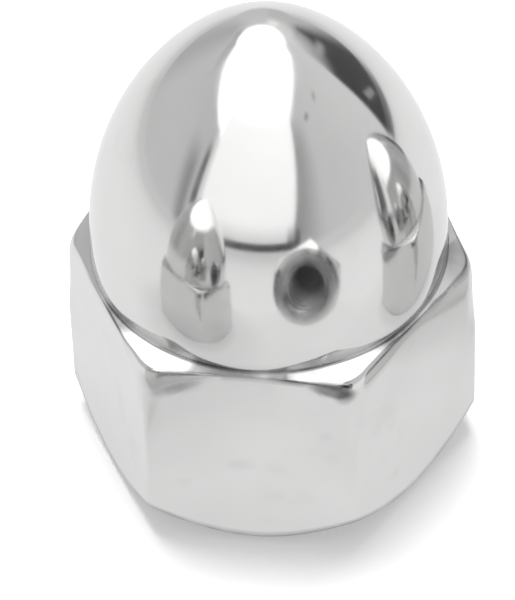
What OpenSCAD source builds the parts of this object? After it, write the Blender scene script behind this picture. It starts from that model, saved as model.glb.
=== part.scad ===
// High-crown cap nut: a hexagonal body under a tall pointed dome, with a blind
// threaded hole that opens at the bearing face.
// Millimetres. The bearing face lies on z = 0 and the dome points along +Z.
// Opposite corners of the hexagon lie on the X axis.

/* [Hexagon] */
// Distance across the flats
across_flats = 14.29; // [12:0.01:19]
// Height of the ring where the dome leaves the shoulder
shoulder_height = 9.7; // [8:0.1:12]
// Radius of the six upright edges
edge_radius = 0.45; // [0.1:0.05:1]

/* [Shoulder and foot] */
// Slope of the shoulder's cone, in degrees
shoulder_slope = 33; // [20:1:40]
// Width of the shoulder's cone, from the dome's base outward
shoulder_width = 0.55; // [0.1:0.05:0.8]
// Slope at which the rounding outside that cone runs off the corners, in degrees
corner_end_slope = 80; // [65:1:85]
// Height of the foot's chamfer at the middle of a flat
foot_height = 0.43; // [0.2:0.01:1]
// Slope of the foot's chamfer, in degrees
foot_slope = 49.5; // [35:0.5:60]

/* [Dome] */
// Overall height
total_height = 21.5; // [19:0.1:26]
// How far the dome's widest ring lies inside the flats
dome_inset = 0.12; // [0.05:0.01:0.6]
// Radius of the long arc of the dome's flank
flank_radius = 11.9; // [10:0.1:18]
// Radius of the round nose
nose_radius = 2.5; // [1:0.1:4]

/* [Threaded hole] */
// Nominal diameter of the thread
thread_diameter = 9.525; // [8:0.005:10]
// Pitch of the thread
thread_pitch = 1.5875; // [1:0.0005:1.6]
// Metal between the drill's point and the top of the dome
crown_wall = 2.6; // [1.5:0.1:5]
// Included angle of the drill's point, in degrees
drill_point_angle = 118; // [90:1:140]
// Included angle of the lead-in at the mouth, in degrees
lead_in_angle = 90; // [60:1:120]
// How much wider the lead-in is than the thread
lead_in_margin = 0.3; // [0.1:0.05:1]

/* [Hidden] */

$fn = 180;
clearance = 1; // how far cutting shapes run past what they cut
arc_overlap = 0.0005; // how far a rounding passes its neighbour, so that the two cross cleanly

// Hexagon
hexagon_sides = 6;
half_side_angle = 180 / hexagon_sides;
flat_distance = across_flats / 2;
sharp_corner_radius = flat_distance / cos(half_side_angle);
edge_centre_inset = edge_radius - arc_overlap;
edge_centre_radius = sharp_corner_radius - edge_centre_inset / cos(half_side_angle);
corner_radius = edge_centre_radius + edge_radius;
reach = sharp_corner_radius + clearance;

// Dome: a flank arc whose centre lies past the axis, closed by a tangent nose
dome_radius = flat_distance - dome_inset;
flank_offset = flank_radius - dome_radius;
centre_distance = flank_radius - nose_radius + arc_overlap;
nose_centre_z = total_height - nose_radius;
flank_centre_z = nose_centre_z - sqrt(pow(centre_distance, 2) - pow(flank_offset, 2));
nose_seam_z = nose_centre_z + nose_radius * (nose_centre_z - flank_centre_z) / centre_distance;
dome_base_radius = sqrt(pow(flank_radius, 2) - pow(flank_centre_z - shoulder_height, 2)) - flank_offset;

// Shoulder: a cone from the dome's base, then a tangent arc that runs off the corners
shoulder_edge_radius = dome_base_radius + shoulder_width;
shoulder_edge_z = shoulder_height - shoulder_width * tan(shoulder_slope);
roll_radius = (corner_radius - shoulder_edge_radius) / (sin(corner_end_slope) - sin(shoulder_slope));
roll_centre_inset = roll_radius - arc_overlap;
roll_centre_radius = shoulder_edge_radius - roll_centre_inset * sin(shoulder_slope);
roll_centre_z = shoulder_edge_z - roll_centre_inset * cos(shoulder_slope);
shoulder_root_radius = dome_base_radius - clearance;
shoulder_root_z = shoulder_height + clearance * tan(shoulder_slope);

// Foot: a cone that leaves the round bearing face
bearing_radius = flat_distance - foot_height / tan(foot_slope);
foot_reach_z = (reach - bearing_radius) * tan(foot_slope);

// Hole
drill_radius = (thread_diameter - thread_pitch) / 2;
drill_tip_z = total_height - crown_wall;
drill_shoulder_z = drill_tip_z - drill_radius / tan(drill_point_angle / 2);
lead_in_radius = (thread_diameter + lead_in_margin) / 2;
lead_in_depth = (lead_in_radius - drill_radius) / tan(lead_in_angle / 2);
mouth_radius = lead_in_radius + clearance * tan(lead_in_angle / 2);

// Hexagon in plan, its six corners rounded by tangent arcs
module hexagon_outline() {
    tangent_points = [
        for (corner = [0 : hexagon_sides - 1], side = [-1, 1])
            let (angle = 2 * half_side_angle * corner, normal = angle + side * half_side_angle)
            [
                edge_centre_radius * cos(angle) + edge_centre_inset * cos(normal),
                edge_centre_radius * sin(angle) + edge_centre_inset * sin(normal)
            ]
    ];
    polygon(tangent_points);
    for (corner = [0 : hexagon_sides - 1])
        rotate(2 * half_side_angle * corner)
            translate([edge_centre_radius, 0])
                circle(r = edge_radius);
}

// Half section of the body: the foot's cone, the upright part, the rounding and the shoulder
module body_section() {
    polygon([
        [0, 0],
        [bearing_radius, 0],
        [reach, foot_reach_z],
        [reach, roll_centre_z],
        [roll_centre_radius, roll_centre_z],
        [shoulder_edge_radius, shoulder_edge_z],
        [shoulder_root_radius, shoulder_root_z],
        [0, shoulder_root_z]
    ]);
    translate([roll_centre_radius, roll_centre_z])
        circle(r = roll_radius);
}

// Half section of the dome: the flank's arc up to the seam, and the nose's circle over it
module dome_section() {
    intersection() {
        translate([-flank_offset, flank_centre_z])
            circle(r = flank_radius);
        translate([0, roll_centre_z])
            square([reach, nose_seam_z - roll_centre_z]);
    }
    intersection() {
        translate([0, nose_centre_z])
            circle(r = nose_radius);
        translate([0, nose_centre_z - nose_radius])
            square(2 * nose_radius);
    }
}

// Round blank that the hexagon is cut from
module turned_blank() {
    rotate_extrude()
        union() {
            body_section();
            dome_section();
        }
}

// Lead-in cone, tap-drill wall and drill point, as one turned cutter
module drilled_hole() {
    rotate_extrude()
        polygon([
            [0, -clearance],
            [mouth_radius, -clearance],
            [drill_radius, lead_in_depth],
            [drill_radius, drill_shoulder_z],
            [0, drill_tip_z]
        ]);
}

module cap_nut() {
    color("silver")
        difference() {
            intersection() {
                turned_blank();
                linear_extrude(total_height + clearance)
                    hexagon_outline();
            }
            drilled_hole();
        }
}

cap_nut();
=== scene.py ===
"""Dressed model of a chrome-plated high-crown cap nut.

The nut is one turned and plated piece: a hexagon with eased edges, a sloped shoulder, a tall
pointed dome and a blind threaded hole. It stands on a pale floor in a small light tent.
"""

import logging
import math
from dataclasses import dataclass, field
from enum import Enum
from functools import reduce

import bmesh
import bpy
import numpy as np
from mathutils import Matrix, Vector


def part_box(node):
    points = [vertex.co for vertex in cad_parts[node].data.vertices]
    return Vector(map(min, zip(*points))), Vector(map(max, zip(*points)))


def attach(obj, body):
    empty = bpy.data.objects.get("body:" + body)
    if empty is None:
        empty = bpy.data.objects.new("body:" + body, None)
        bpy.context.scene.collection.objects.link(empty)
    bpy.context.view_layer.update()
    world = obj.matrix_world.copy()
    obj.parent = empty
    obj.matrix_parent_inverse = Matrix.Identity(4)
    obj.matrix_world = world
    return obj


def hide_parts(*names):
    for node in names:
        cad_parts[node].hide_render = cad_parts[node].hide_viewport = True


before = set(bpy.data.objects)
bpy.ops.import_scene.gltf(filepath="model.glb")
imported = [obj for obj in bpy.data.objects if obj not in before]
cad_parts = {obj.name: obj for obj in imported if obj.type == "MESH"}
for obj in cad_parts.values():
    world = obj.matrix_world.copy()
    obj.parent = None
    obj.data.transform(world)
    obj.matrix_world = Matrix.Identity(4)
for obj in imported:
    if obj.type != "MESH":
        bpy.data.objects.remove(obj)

LOG = logging.getLogger("cap_nut")
NODE = "cap_nut"
BODY = "root"
MM = 0.001
FULL_TURN = 2 * math.pi
SIDES = 6
HALF_SIDE = math.pi / SIDES
WELD_DISTANCE = 1e-8
INSIDE = 0.0005 * MM
HAIR = 1e-6
WHITE = (1.0, 1.0, 1.0, 1.0)

# The tent's cards glow at their own tone times TENT_LEVEL, and cards and floor glow REPEAT_GAIN
# times as strongly where the chrome mirrors its own reflection. A ray's depth counts what it has
# met: above AFTER_FIRST it was mirrored more than once, and below UNSCATTERED it met nothing matt.
TENT_LEVEL = 0.89
REPEAT_GAIN = 1.5
AFTER_FIRST = 1.5
UNSCATTERED = 0.5

BORE_ATTRIBUTE = "bore_share"
# Share of painted shade, painted reflection and wear on the nut, one number at each vertex.
SHADE_AND_STAIN_ATTRIBUTE = "shade_and_stain"
TONE_ATTRIBUTE = "tone"
COVER_ATTRIBUTE = "cover"
FLEETING_ATTRIBUTE = "fleeting"


# ---------------------------------------------------------------- shapes from arrays


def smooth_step(value: np.ndarray, start: float, end: float) -> np.ndarray:
    """Rise from 0 at start to 1 at end, level at both ends: 3t^2 - 2t^3 of the share t between them.

    Args:
        value: Where to work the step out.
        start: Value at which the step leaves 0.
        end: Value at which the step reaches 1.

    Returns:
        The step's height at each value.
    """
    share = np.clip((value - start) / (end - start), 0.0, 1.0)
    return share * share * (3.0 - 2.0 * share)


def grid_quads(first: int, rows: int, columns: int) -> np.ndarray:
    """Quads of a tube whose rows are closed rings, each row following the one before it.

    Args:
        first: Index of the first row's first vertex.
        rows: Number of rings.
        columns: Number of vertices in a ring.

    Returns:
        Vertex indices, four to a quad, facing away from the axis when rows climb.
    """
    row, column = np.meshgrid(np.arange(rows - 1), np.arange(columns), indexing="ij")
    here = first + row * columns + column
    beside = first + row * columns + (column + 1) % columns
    return np.stack([here, beside, beside + columns, here + columns], -1).reshape(-1, 4)


def fan(ring: np.ndarray, tip: int) -> np.ndarray:
    """Triangles that close a ring at a tip, wound along the ring's own order.

    Args:
        ring: Vertex indices of the ring.
        tip: Vertex index of the tip.

    Returns:
        Vertex indices, three to a triangle.
    """
    return np.stack([ring, np.roll(ring, -1), np.full(ring.shape, tip)], -1)


def zip_rings(
    outer: np.ndarray, outer_angle: np.ndarray, inner: np.ndarray, inner_angle: np.ndarray
) -> np.ndarray:
    """Triangles of the flat band between two rings with different vertex counts.

    Both rings are walked round together in order of angle, and each step along one ring makes
    a triangle with the vertex last passed on the other. The faces point down.

    Args:
        outer: Vertex indices of the outer ring, in order of rising angle from its first.
        outer_angle: Angles of those vertices, from 0 to a full turn.
        inner: Vertex indices of the inner ring, in the same order.
        inner_angle: Angles of those vertices.

    Returns:
        Vertex indices, three to a triangle.
    """
    outer_end = np.append(outer_angle[1:], outer_angle[0] + FULL_TURN)
    inner_end = np.append(inner_angle[1:], inner_angle[0] + FULL_TURN)
    passed_inner = np.searchsorted(inner_angle, outer_end, side="right") - 1
    passed_outer = np.searchsorted(outer_angle, inner_end, side="left") - 1
    on_outer = np.stack([outer, inner[passed_inner % len(inner)], np.roll(outer, -1)], -1)
    on_inner = np.stack([inner, np.roll(inner, -1), outer[passed_outer % len(outer)]], -1)
    return np.concatenate([on_outer, on_inner])


def arc(
    centre: tuple, radius: float, start: float | np.ndarray, end: float | np.ndarray, steps: int
) -> list[tuple]:
    """Points along a circular arc in the section plane: centre + radius (cos a, sin a).

    Args:
        centre: Distance from the axis and height of the centre; either may vary by column.
        radius: Radius of the arc.
        start: Angle of the first point, in degrees, which may vary by column.
        end: Angle of the last point, in degrees, which may vary by column.
        steps: Number of steps from the first point to the last.

    Returns:
        Distance from the axis and height of each point.
    """
    angles = np.radians(np.linspace(start, end, steps + 1))
    return [(centre[0] + radius * np.cos(a), centre[1] + radius * np.sin(a)) for a in angles]


def straight(start: tuple, end: tuple, shares: tuple[float, ...]) -> list[tuple]:
    """Points on the straight line between two section points.

    Args:
        start: Distance from the axis and height at share 0.
        end: Distance from the axis and height at share 1.
        shares: How far along the line each point lies.

    Returns:
        Distance from the axis and height of each point.
    """
    return [tuple(a + (b - a) * share for a, b in zip(start, end)) for share in shares]


def roll_over(start: tuple, corner: tuple, end: tuple, steps: int) -> list[tuple]:
    """Points of a rounding that leaves start along one line and meets end along another.

    It is the parabola (1 - t)^2 start + 2 t (1 - t) corner + t^2 end, where corner is where the
    two lines would meet. The shorter side bends sooner.

    Args:
        start: Distance from the axis and height where the rounding starts.
        corner: The sharp corner that it takes off.
        end: Distance from the axis and height where it ends.
        steps: Number of steps from start to end.

    Returns:
        Distance from the axis and height of each point.
    """
    return [
        tuple((1 - t) ** 2 * a + 2 * t * (1 - t) * b + t * t * c for a, b, c in zip(start, corner, end))
        for t in np.linspace(0.0, 1.0, steps + 1)
    ]


def build_object(
    name: str, points: np.ndarray, faces: list[np.ndarray], numbers: dict[str, np.ndarray] | None = None
) -> bpy.types.Object:
    """Makes a smooth-shaded mesh object at the origin, with doubled vertices merged.

    Args:
        name: Name of the object and its mesh.
        points: Vertex places, in metres.
        faces: Arrays of vertex indices, each with its own number of corners to a face.
        numbers: One number per vertex under each attribute name.

    Returns:
        The new object, linked to the scene.
    """
    mesh = bpy.data.meshes.new(name)
    mesh.from_pydata(points.tolist(), [], [face for group in faces for face in group.tolist()])
    for attribute_name, values in (numbers or {}).items():
        attribute = mesh.attributes.new(attribute_name, "FLOAT", "POINT")
        attribute.data.foreach_set("value", values.astype(np.float32))
    shape = bmesh.new()
    shape.from_mesh(mesh)
    bmesh.ops.remove_doubles(shape, verts=shape.verts, dist=WELD_DISTANCE)
    shape.to_mesh(mesh)
    shape.free()
    mesh.shade_smooth()
    made = bpy.data.objects.new(name, mesh)
    bpy.context.scene.collection.objects.link(made)
    return made


# ---------------------------------------------------------------- materials


Socket = bpy.types.NodeSocket
Number = float | Socket


def grey(tone: float) -> tuple[float, float, float, float]:
    """Colour of an even grey."""
    return tone, tone, tone, 1.0


class NodeBoard:
    """A node tree with short calls to add and join nodes."""

    def __init__(self, tree: bpy.types.NodeTree) -> None:
        """Clears the tree and keeps it."""
        self.tree = tree
        tree.nodes.clear()

    def add(self, kind: str, inputs: dict | None = None, **settings: object) -> bpy.types.Node:
        """Adds a node.

        Args:
            kind: Node type, without the ShaderNode prefix.
            inputs: Constant or output socket for each input, by name or number.
            **settings: Node properties to set first.

        Returns:
            The new node.
        """
        node = self.tree.nodes.new("ShaderNode" + kind)
        for key, value in settings.items():
            setattr(node, key, value)
        for key, value in (inputs or {}).items():
            if isinstance(value, Socket):
                self.tree.links.new(value, node.inputs[key])
            else:
                node.inputs[key].default_value = value
        return node

    def math(self, operation: str, first: Number, second: Number = 0.0) -> Socket:
        """Joins two numbers by an operation and gives the result's socket."""
        return self.add("Math", {0: first, 1: second}, operation=operation).outputs[0]

    def times(self, first: Number, *others: Number) -> Socket:
        """Multiplies numbers together, in order, and gives the product's socket."""
        return reduce(lambda product, factor: self.math("MULTIPLY", product, factor), others, first)

    def spread(self, value: Number, span: tuple[float, float], result: tuple[float, float]) -> Socket:
        """Carries a number from one range smoothly to another.

        Args:
            value: The number.
            span: Its values at which the result starts and stops to change.
            result: The result at those two values, and past them.

        Returns:
            The result's socket.
        """
        inputs = {"Value": value, "From Min": span[0], "From Max": span[1]}
        inputs |= {"To Min": result[0], "To Max": result[1]}
        return self.add("MapRange", inputs, interpolation_type="SMOOTHSTEP").outputs["Result"]

    def attribute(self, name: str) -> Socket:
        """Reads a number that the mesh holds at its vertices and gives its socket."""
        return self.add("Attribute", attribute_name=name).outputs["Fac"]


@dataclass(frozen=True)
class Pattern:
    """A cloudy noise. The span holds the noise's values between which what it drives changes."""

    scale: float
    span: tuple[float, float] = (0.0, 1.0)
    detail: float = 3.0
    roughness: float = 0.5

    def noise(self, board: NodeBoard, place: Socket) -> Socket:
        """Adds the bare noise at a place and gives its value's socket."""
        inputs = {"Vector": place, "Scale": self.scale, "Detail": self.detail, "Roughness": self.roughness}
        return board.add("TexNoise", inputs).outputs["Fac"]

    def build(self, board: NodeBoard, place: Socket, result: tuple[float, float]) -> Socket:
        """Adds the noise and spreads it over a range.

        Args:
            board: The material's nodes.
            place: Where the noise is read.
            result: What the two ends of the span become.

        Returns:
            The result's socket.
        """
        return board.spread(self.noise(board, place), self.span, result)


@dataclass(frozen=True)
class ChromeFinish:
    """Mirror-bright chrome plate over polished steel, with the bare steel of the tapped hole.

    Tones are from 0 for black to 1 for white. The swings say how far a pattern moves what it
    drives, as shares of it.
    """

    name: str = "chrome_plate"
    plate_tone: float = 0.72
    plate_warmth: tuple[float, float, float] = (1.0, 0.998, 0.994)
    grazing_tone: float = 0.96
    steel_tone: float = 0.30
    plate_roughness: float = 0.085
    steel_roughness: float = 0.38

    clouds: Pattern = Pattern(260.0, (0.3, 0.7))
    cloud_swing: tuple[float, float] = (0.98, 1.02)
    smudges: Pattern = Pattern(330.0, (0.6, 0.74), detail=2.0, roughness=0.6)
    smudge_cover: float = 0.045
    haze: Pattern = Pattern(1400.0, (0.3, 0.75))
    haze_swing: tuple[float, float] = (0.9, 1.25)

    # The dark tone of painted shade, painted reflection and wear, with its cover, dullness and patches.
    shade_and_stain_tone: float = 0.09
    shade_and_stain_cover: float = 0.97
    shade_and_stain_roughness: float = 0.32
    shade_and_stain_patches: Pattern = Pattern(700.0, (0.3, 0.6))
    thinnest_patch: float = 0.7
    fully_dull_shade_and_stain: float = 0.35

    waves: Pattern = Pattern(420.0, detail=2.0)
    wave_strength: float = 0.05
    wave_height: float = 0.02 * MM

    def colour(self, board: NodeBoard, place: Socket, shade_and_stain: Socket, in_bore: Socket) -> Socket:
        """Mixes the plate's colour with the dark tone of painted shade and wear, and the bare steel in the
        hole.

        Args:
            board: The material's nodes.
            place: Object coordinates.
            shade_and_stain: How strongly painted shade, painted reflection and wear darken the surface.
            in_bore: 1 in the hole, past the plate.

        Returns:
            The colour's socket.
        """
        smudges = self.smudges.build(board, place, (1.0, 1.0 - self.smudge_cover))
        low, high = self.cloud_swing
        clouds = self.clouds.build(board, place, (low * self.plate_tone, high * self.plate_tone))
        tone = board.times(clouds, smudges)
        tints = {i: board.times(tone, share) for i, share in enumerate(self.plate_warmth)}
        plate = board.add("CombineColor", tints).outputs[0]
        patches = self.shade_and_stain_patches.build(
            board, place, (self.thinnest_patch * self.shade_and_stain_cover, self.shade_and_stain_cover)
        )
        shade_and_stain_mix = {"Factor": board.times(shade_and_stain, patches), "A": plate, "B": grey(self.shade_and_stain_tone)}
        shaded_and_stained = board.add("Mix", shade_and_stain_mix, data_type="RGBA").outputs["Result"]
        bare = {"Factor": in_bore, "A": shaded_and_stained, "B": grey(self.steel_tone)}
        return board.add("Mix", bare, data_type="RGBA").outputs["Result"]

    def roughness(self, board: NodeBoard, place: Socket, shade_and_stain: Socket, in_bore: Socket) -> Socket:
        """Mixes the plate's polish with the dullness of the painted shade and wear, and of the bare steel.

        Args:
            board: The material's nodes.
            place: Object coordinates.
            shade_and_stain: How strongly painted shade, painted reflection and wear darken the surface.
            in_bore: 1 in the hole, past the plate.

        Returns:
            The roughness's socket.
        """
        low, high = self.haze_swing
        polish = self.haze.build(board, place, (low * self.plate_roughness, high * self.plate_roughness))
        dull = board.spread(shade_and_stain, (0.0, self.fully_dull_shade_and_stain), (0.0, 1.0))
        shade_and_stain_mix = {"Factor": dull, "A": polish, "B": self.shade_and_stain_roughness}
        dulled = board.add("Mix", shade_and_stain_mix).outputs["Result"]
        bare = {"Factor": in_bore, "A": dulled, "B": self.steel_roughness}
        return board.add("Mix", bare).outputs["Result"]

    def build(self) -> bpy.types.Material:
        """Makes the material.

        Returns:
            The chrome material, patterned on Object coordinates.
        """
        material = bpy.data.materials.new(self.name)
        material.use_nodes = True
        board = NodeBoard(material.node_tree)
        place = board.add("TexCoord").outputs["Object"]
        in_bore, shade_and_stain = board.attribute(BORE_ATTRIBUTE), board.attribute(SHADE_AND_STAIN_ATTRIBUTE)
        waves = self.waves.noise(board, place)
        ripple = board.add(
            "Bump", {"Strength": self.wave_strength, "Distance": self.wave_height, "Height": waves}
        )
        shader = board.add(
            "BsdfPrincipled",
            {
                "Base Color": self.colour(board, place, shade_and_stain, in_bore),
                "Metallic": 1.0,
                "Roughness": self.roughness(board, place, shade_and_stain, in_bore),
                "Specular Tint": grey(self.grazing_tone),
                "Normal": ripple.outputs["Normal"],
            },
        )
        board.add("OutputMaterial", {"Surface": shader.outputs[0]})
        return material


# ---------------------------------------------------------------- the nut


@dataclass(frozen=True)
class ThreadSizes:
    """Sizes of the blind tapped hole, in metres and degrees."""

    nominal_radius: float = 4.7625 * MM
    pitch: float = 1.5875 * MM
    drill_radius: float = 3.96875 * MM
    tapped_length: float = 14.2 * MM
    tap_taper_turns: float = 2.0
    root_flat_share: float = 0.125
    flank_angle: float = 30.0
    drill_wall_end: float = 16.515 * MM
    drill_tip: float = 18.9 * MM
    lead_in_radius: float = 4.9125 * MM


@dataclass(frozen=True)
class HoleGrid:
    """How finely the hole's wall is divided.

    Thread rows are shares of a pitch from the middle of the root, which lies at the root phase
    of each turn. Mouth rings lie that far outside the lead-in, and the other shares run up the
    drilled wall and along the drill's point.
    """

    columns: int = 144
    root_phase: float = 0.5
    thread_rows: tuple[float, ...] = (0.0, 0.05, 0.072, 0.16, 0.25, 0.335, 0.365, 0.43)
    turns_below: int = 2
    turns_beyond: int = 1
    mouth_rings: tuple[float, ...] = (0.25 * MM, 0.05 * MM, 0.0)
    wall_shares: tuple[float, ...] = (0.0, 0.05, 0.5, 0.97, 1.0)
    point_shares: tuple[float, ...] = (0.02, 0.3, 0.6, 0.9)


@dataclass(frozen=True)
class OuterGrid:
    """How finely the outside is divided: steps up each stretch of the section and round the plan.

    Columns are spaced along a flat by a power of their share. Seat rings lie that far inside the
    bearing edge, shares run along their straight stretch, and the dome's root spans so many
    degrees of the flank.
    """

    flat_columns: int = 22
    edge_columns: int = 8
    flat_crowding: float = 0.85
    seat_rings: tuple[float, ...] = (0.3 * MM, 0.1 * MM)
    seat_edge: int = 5
    foot_shares: tuple[float, ...] = (0.1, 0.5, 0.9)
    foot_edge: int = 6
    side: int = 34
    crest: int = 18
    shoulder_shares: tuple[float, ...] = (0.08, 0.3, 0.55, 0.75, 0.88, 0.96)
    crevice: int = 8
    dome_root: int = 6
    dome_root_span: float = 1.5
    flank: int = 60
    nose: int = 16


class Flat(Enum):
    """The flats that the camera sees, by the direction that each faces, in degrees from +X."""

    LEFT = -150.0
    FRONT = -90.0
    RIGHT = -30.0


@dataclass(frozen=True)
class Mark:
    """A soft oval mark on a flat. Lengths are in metres and angles in degrees.

    The spot is the mark's distance along the flat from its middle, rising with the angle round
    the nut, and its height. The tilt lifts the mark's far end. The mark is at its full share in
    its core, a share of its half size, and fades from there to its outline.
    """

    flat: Flat
    spot: tuple[float, float]
    half_size: tuple[float, float]
    share: float
    tilt: float = 0.0
    core: float = 0.3

    def cover(self, x: np.ndarray, y: np.ndarray, z: np.ndarray, near: float) -> np.ndarray:
        """How strongly the mark covers each vertex.

        Args:
            x: Vertex places across the hexagon's corners.
            y: Vertex places across its flats.
            z: Vertex heights.
            near: Distance from the axis, towards the flat, past which vertices count.

        Returns:
            The mark's share at each vertex, and 0 outside the mark.
        """
        turn, tilt = math.radians(self.flat.value), math.radians(self.tilt)
        along = y * math.cos(turn) - x * math.sin(turn) - self.spot[0]
        up = z - self.spot[1]
        long_way = (along * math.cos(tilt) + up * math.sin(tilt)) / self.half_size[0]
        short_way = (up * math.cos(tilt) - along * math.sin(tilt)) / self.half_size[1]
        faces = x * math.cos(turn) + y * math.sin(turn) > near
        return self.share * faces * (1.0 - smooth_step(np.hypot(long_way, short_way), self.core, 1.0))


@dataclass
class CapNut:
    """The whole nut, one turned and plated piece.

    Heights run up from the bearing face at 0, distances out from the hole's axis on Z, and
    opposite corners of the hexagon lie on X. Lengths are in metres and slopes in degrees. A pair
    of lengths says where something starts and where it ends, and a share says how strong it is.
    """

    flat_distance: float
    total_height: float
    edge_radius: float = 0.45 * MM
    shoulder_height: float = 9.7 * MM
    shoulder_slope: float = 18.0
    top_edge_radius: float = 1.4 * MM
    lean_start: float = 5.4 * MM
    dome_inset: float = 0.12 * MM
    flank_radius: float = 11.9 * MM
    nose_radius: float = 2.5 * MM
    foot_height: float = 0.43 * MM
    foot_slope: float = 49.5
    seat_edge_radius: float = 0.1 * MM
    foot_edge_radius: float = 0.14 * MM
    crevice_radius: float = 0.16 * MM

    # How far polishing rolls the shoulder over into the sides, from crisp edges to the corners.
    edge_reach: float = 0.06 * MM
    corner_reach_above: float = 0.35 * MM
    corner_reach_below: float = 1.2 * MM
    edge_room_share: float = 0.9
    easing_behind: tuple[float, float] = (0.8 * MM, 3.7 * MM)
    easing_ahead: tuple[float, float] = (2.05 * MM, 3.8 * MM)
    worn_flats: tuple[tuple[Flat, float], ...] = ((Flat.RIGHT, 0.45), (Flat.LEFT, 0.18))

    # Painted shade and painted reflection: dark in the crevice, along the crisp edges and the foot's edge,
    # on one flat's narrow strip of shoulder and in marks high on the flats; the hole's mouth is darkened
    # too.
    crevice_shade: tuple[float, float] = (0.03 * MM, 0.16 * MM)
    crevice_share: float = 0.6
    crevice_shade_haze: tuple[float, float] = (0.1 * MM, 0.6 * MM)
    haze_share: float = 0.14
    edge_shade: tuple[float, float] = (0.02 * MM, 0.11 * MM)
    eased_share: float = 0.45
    strip_share: float = 0.95
    strip_flat: Flat = Flat.FRONT
    strip_middle: float = -0.45 * MM
    strip_reach: tuple[float, float] = (1.7 * MM, 2.3 * MM)
    mouth_share: float = 0.53
    crest_share: float = 0.7
    rim_share: float = 0.7
    bare_depth: tuple[float, float] = (0.8 * MM, 3.0 * MM)
    # Faint specks of wear low on the flats come first; the marks high under the shoulder after them are
    # painted reflection.
    marks: tuple[Mark, ...] = (
        Mark(Flat.FRONT, (-0.45 * MM, 4.56 * MM), (0.8 * MM, 0.42 * MM), 0.11),
        Mark(Flat.FRONT, (2.98 * MM, 6.61 * MM), (0.35 * MM, 0.3 * MM), 0.06),
        Mark(Flat.FRONT, (-2.64 * MM, 3.33 * MM), (0.45 * MM, 0.4 * MM), 0.05),
        Mark(Flat.FRONT, (0.99 * MM, 2.84 * MM), (0.5 * MM, 0.4 * MM), 0.05),
        Mark(Flat.RIGHT, (-1.52 * MM, 2.17 * MM), (0.45 * MM, 0.35 * MM), 0.07),
        # Painted reflection: grey and dark patches high on the flats, where the chrome mirrors dark things
        # round it.
        Mark(Flat.FRONT, (-2.7 * MM, 8.72 * MM), (1.7 * MM, 0.34 * MM), 0.3, 26.0),
        Mark(Flat.FRONT, (-3.0 * MM, 9.0 * MM), (1.5 * MM, 0.8 * MM), 0.22, 15.0),
        Mark(Flat.FRONT, (3.15 * MM, 9.12 * MM), (1.25 * MM, 0.42 * MM), 0.92, -20.0),
        Mark(Flat.FRONT, (3.75 * MM, 8.75 * MM), (0.55 * MM, 0.5 * MM), 0.42),
        Mark(Flat.FRONT, (2.0 * MM, 9.6 * MM), (1.3 * MM, 0.25 * MM), 0.35),
        Mark(Flat.RIGHT, (-0.2 * MM, 9.5 * MM), (4.3 * MM, 0.6 * MM), 0.13),
        Mark(Flat.RIGHT, (-0.9 * MM, 9.66 * MM), (1.7 * MM, 0.2 * MM), 0.62),
        Mark(Flat.LEFT, (1.2 * MM, 9.66 * MM), (1.3 * MM, 0.2 * MM), 0.62),
        Mark(Flat.RIGHT, (3.7 * MM, 9.5 * MM), (1.7 * MM, 0.5 * MM), 0.45),
    )
    marked_share: float = 0.8

    thread: ThreadSizes = field(default_factory=ThreadSizes)
    outer_grid: OuterGrid = field(default_factory=OuterGrid)
    hole_grid: HoleGrid = field(default_factory=HoleGrid)
    finish: ChromeFinish = field(default_factory=ChromeFinish)

    @classmethod
    def from_frame(cls) -> "CapNut":
        """Takes the hexagon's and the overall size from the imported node's box."""
        _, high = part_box(NODE)
        return cls(flat_distance=high.y - INSIDE, total_height=high.z - INSIDE)

    def outline(self) -> tuple[np.ndarray, np.ndarray, np.ndarray]:
        """Plan of the upright sides: straight flats joined by tangent arcs at the corners.

        Half a side is laid out from a corner on +X to the middle of the next flat. On the arc a
        point is the arc's centre plus the radius along its normal, and on the flat it lies at a
        chosen distance from the flat's middle. Mirrored and repeated six times, that closes.

        Returns:
            Angle and distance from the axis of each column, and its signed distance from the
            middle of its flat: below 0 on the half that follows a corner as the angle rises.
        """
        grid = self.outer_grid
        arc_centre = (self.flat_distance - self.edge_radius) / math.cos(HALF_SIDE)
        normal = np.linspace(0.0, HALF_SIDE, grid.edge_columns + 1)
        arc_x = arc_centre + self.edge_radius * np.cos(normal)
        arc_y = self.edge_radius * np.sin(normal)
        arc_end = arc_centre * math.sin(HALF_SIDE)
        share = np.linspace(0.0, 1.0, grid.flat_columns + 1)[1:]
        along = arc_end * (1.0 - share) ** grid.flat_crowding
        flat_angle = HALF_SIDE - np.arctan2(along, self.flat_distance)
        angle = np.concatenate([np.arctan2(arc_y, arc_x), flat_angle])
        distance = np.concatenate([np.hypot(arc_x, arc_y), np.hypot(along, self.flat_distance)])
        offset = self.flat_distance * np.tan(HALF_SIDE - angle)
        turns = np.arange(SIDES)[:, None] * (FULL_TURN / SIDES)
        angles = (turns + np.concatenate([angle, 2 * HALF_SIDE - angle[-2:0:-1]])).ravel()
        distances = np.tile(np.concatenate([distance, distance[-2:0:-1]]), SIDES)
        offsets = np.tile(np.concatenate([-offset, offset[-2:0:-1]]), SIDES)
        return angles, distances, offsets

    @staticmethod
    def on_flat(angles: np.ndarray, flat: Flat) -> np.ndarray:
        """Which columns belong to a flat."""
        return np.cos(angles - math.radians(flat.value)) > math.cos(HALF_SIDE)

    def easing(self, angles: np.ndarray, offsets: np.ndarray) -> np.ndarray:
        """How far the shoulder is eased into the flats: 0 where the edge is crisp, 1 at the corners.

        Polishing eases the half of each flat that follows a corner further than the other half,
        and worn flats nowhere less than their own share.

        Args:
            angles: Angle of each column.
            offsets: Signed distance of each column from the middle of its flat.

        Returns:
            The easing at each column.
        """
        behind = smooth_step(-offsets, *self.easing_behind)
        ahead = smooth_step(offsets, *self.easing_ahead)
        ease = np.where(offsets < 0, behind, ahead)
        for flat, least in self.worn_flats:
            ease = np.where(self.on_flat(angles, flat), least + (1.0 - least) * ease, ease)
        return ease

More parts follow.
